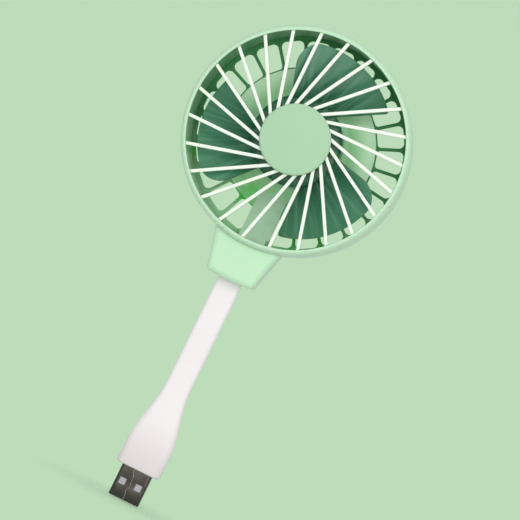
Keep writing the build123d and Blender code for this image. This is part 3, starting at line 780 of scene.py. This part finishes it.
def makeSleeve():
    first = hingeHeights[0] - hingePitch / 2
    makeGrip(first)
    for k in range(8):
        low = first + hingePitch * k
        bar = makeStretch(f"sleeveBend_{k + 1}", low, low + hingePitch)
        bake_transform(bar)
        if k < 7:
            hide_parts(f"neck_sleeve_{k + 1}")
    top = makeStretch("sleeveTop", first + hingePitch * 8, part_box("sleeve_top")[1].z)
    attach(top, "head")
    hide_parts("sleeve_top")


# Plug shell: folded strip with two latch windows in each wide face and a wavy seam

shellLook = {"size": (12.0 * mm, 4.5 * mm), "corner": 0.8 * mm, "wall": 0.3 * mm, "window": 2.6 * mm,
             "windowX": 3.2 * mm, "windowZ": 6.3 * mm}


def makeShell():
    look = shellLook
    low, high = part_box("plug_shell")
    width, depth = look["size"]
    startFresh()
    bpy.ops.mesh.primitive_cube_add(size=1, location=(0, 0, (low.z + high.z) / 2),
                                    scale=(width, depth, high.z - low.z))
    shell = bpy.context.object
    shell.name = shell.data.name = "plugShell"
    bpy.ops.object.transform_apply(location=True, scale=True)
    bpy.ops.object.mode_set(mode='EDIT')
    pick(shell, 'EDGE', lambda e: abs(e.verts[0].co.z - e.verts[1].co.z) > 1 * mm)
    bpy.ops.mesh.bevel(offset=look["corner"], segments=4, affect='EDGES')
    pick(shell, 'FACE', lambda f: abs(f.normal.z) > 0.9)
    bpy.ops.mesh.delete(type='FACE')
    half = look["window"] / 2
    near, far = look["windowX"] - half, look["windowX"] + half
    for x in (-far, -near, near, far):
        bpy.ops.mesh.select_all(action='SELECT')
        bpy.ops.mesh.bisect(plane_co=(x, 0, 0), plane_no=(1, 0, 0))
    for z in (look["windowZ"] - half, look["windowZ"] + half):
        bpy.ops.mesh.select_all(action='SELECT')
        bpy.ops.mesh.bisect(plane_co=(0, 0, z), plane_no=(0, 0, 1))
    pick(shell, 'FACE', lambda f: abs(middleOf(f).z - look["windowZ"]) < half and abs(f.normal.y) > 0.9
         and abs(abs(middleOf(f).x) - look["windowX"]) < half)
    bpy.ops.mesh.delete(type='FACE')
    closeUp()
    applyModifier(shell, 'SOLIDIFY', {"thickness": look["wall"], "offset": -1.0})
    softenEdges(shell, 0.05 * mm, 2, 50)
    smooth(shell)
    placeOn(shell, "plug", "plug_steel", "plug_shell")


seamLook = {"path": ((-1.1, 12.2), (-1.1, 10.9), (-0.1, 9.9), (-0.1, 7.2), (0.2, 6.2), (0.2, 4.7),
                     (-0.6, 4.0), (-0.6, 3.2), (0.0, 2.6), (0.0, 0.1)), "radius": 0.07 * mm}


def makeSeam():
    # painted highlight: a bead of lighter steel along the fold, where the two ends of the strip lock together,
    # stands for its bright edge
    startFresh()
    face = -shellLook["size"][1] / 2
    bpy.ops.curve.primitive_nurbs_path_add()
    seam = bpy.context.object
    seam.name = "shellSeam"
    curve = seam.data
    curve.splines.clear()
    spline = curve.splines.new('NURBS')
    spline.points.add(len(seamLook["path"]) - 1)
    for point, (x, z) in zip(spline.points, seamLook["path"]):
        point.co = (x * mm, face, z * mm, 1)
    spline.order_u = 3
    spline.use_endpoint_u = True
    curve.bevel_depth = seamLook["radius"]
    curve.bevel_resolution = 2
    curve.use_fill_caps = True
    bpy.ops.object.convert(target='MESH')
    dress(seam, "screw_steel")
    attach(seam, "plug")


makeSleeve()
makeShell()
makeSeam()
print("sleeve and plug made")


# Stage, light and camera

stageLook = {"backdrop": "#bddcba", "floor": "#bddcba", "floorRadius": 45 * mm, "floorClear": 8 * mm,
             "floorShare": 0.5, "room": "#f1f7f1", "roomStrength": 0.76}
# how far the key light stands to the front, right and up, then its distance, size and power
keyLook = {"front": 1.8, "right": 0.5, "up": 0.28, "distance": 1.0, "size": 0.9, "power": 5.3}
cameraLook = {"lean": 26.1, "side": 5.0, "distance": 1.2, "frameWidth": 192.2 * mm,
              "centre": (6.55 * mm, 0, 101.8 * mm)}


def imageAxes():
    lean = math.radians(cameraLook["lean"])
    right = Vector((math.cos(lean), 0, math.sin(lean)))
    up = Vector((-math.sin(lean), 0, math.cos(lean)))
    return right, up


def makeFloor():
    startFresh()
    bpy.ops.mesh.primitive_circle_add(vertices=96, radius=stageLook["floorRadius"], fill_type='NGON',
                                      location=(0, 0, cadLow.z - 0.5 * mm))
    floor = bpy.context.object
    floor.name = "floor"
    bpy.ops.object.transform_apply(location=True)
    material = bpy.data.materials.new("paleFloor")
    material.use_nodes = True
    tree = material.node_tree
    tree.nodes.clear()
    place = addNode(tree, 'ShaderNodeTexCoord').outputs['Object']
    reach = addNode(tree, 'ShaderNodeVectorMath', {"operation": 'LENGTH'}, {0: place})
    fade = ramp(tree, reach.outputs['Value'], stageLook["floorClear"], stageLook["floorRadius"] * 0.97,
                stageLook["floorShare"], 0.0)
    shader = addNode(tree, 'ShaderNodeBsdfPrincipled',
                     {"Base Color": linear(stageLook["floor"]), "Roughness": 0.8}, {"Alpha": fade})
    addNode(tree, 'ShaderNodeOutputMaterial', None, {"Surface": shader.outputs['BSDF']})
    floor.data.materials.append(material)


def makeWorld():
    # the backdrop's colour is seen directly, and neutral light comes from all round
    world = bpy.data.worlds.new("softRoom")
    bpy.context.scene.world = world
    world.use_nodes = True
    tree = world.node_tree
    tree.nodes.clear()
    seen = addNode(tree, 'ShaderNodeLightPath').outputs['Is Camera Ray']
    backdrop = addNode(tree, 'ShaderNodeBackground',
                       {"Color": linear(stageLook["backdrop"]), "Strength": 1.0})
    room = addNode(tree, 'ShaderNodeBackground',
                   {"Color": linear(stageLook["room"]), "Strength": stageLook["roomStrength"]})
    mixed = addNode(tree, 'ShaderNodeMixShader', None,
                    {0: seen, 1: room.outputs['Background'], 2: backdrop.outputs['Background']})
    addNode(tree, 'ShaderNodeOutputWorld', None, {"Surface": mixed.outputs['Shader']})


def makeLight():
    # one large softbox from the front
    look = keyLook
    right, up = imageAxes()
    direction = Vector((0, -1, 0)) * look["front"] + right * look["right"] + up * look["up"]
    target = Vector((0, 0, headHeight * 0.75))
    light = bpy.data.lights.new("keySoftbox", 'AREA')
    light.shape = 'DISK'
    light.size = look["size"]
    light.energy = look["power"]
    lamp = bpy.data.objects.new("keySoftbox", light)
    bpy.context.scene.collection.objects.link(lamp)
    lamp.location = target + direction.normalized() * look["distance"]
    lamp.rotation_euler = (target - lamp.location).to_track_quat('-Z', 'Y').to_euler()


def makeCamera():
    up = imageAxes()[1]
    side = math.radians(cameraLook["side"])
    target = Vector(cameraLook["centre"])
    away = Vector((math.sin(side), -math.cos(side), 0))
    data = bpy.data.cameras.new("camera")
    data.lens = data.sensor_width * cameraLook["distance"] / cameraLook["frameWidth"]
    data.clip_start = 0.05
    camera = bpy.data.objects.new("camera", data)
    bpy.context.scene.collection.objects.link(camera)
    across = (-away).cross(up).normalized()
    upright = across.cross(-away).normalized()
    turn = Matrix((across, upright, away)).transposed().to_4x4()
    camera.matrix_world = Matrix.Translation(target + away * cameraLook["distance"]) @ turn
    bpy.context.scene.camera = camera


makeFloor()
makeWorld()
makeLight()
makeCamera()
bpy.context.scene.view_settings.view_transform = 'Standard'
print("stage, light and camera set")
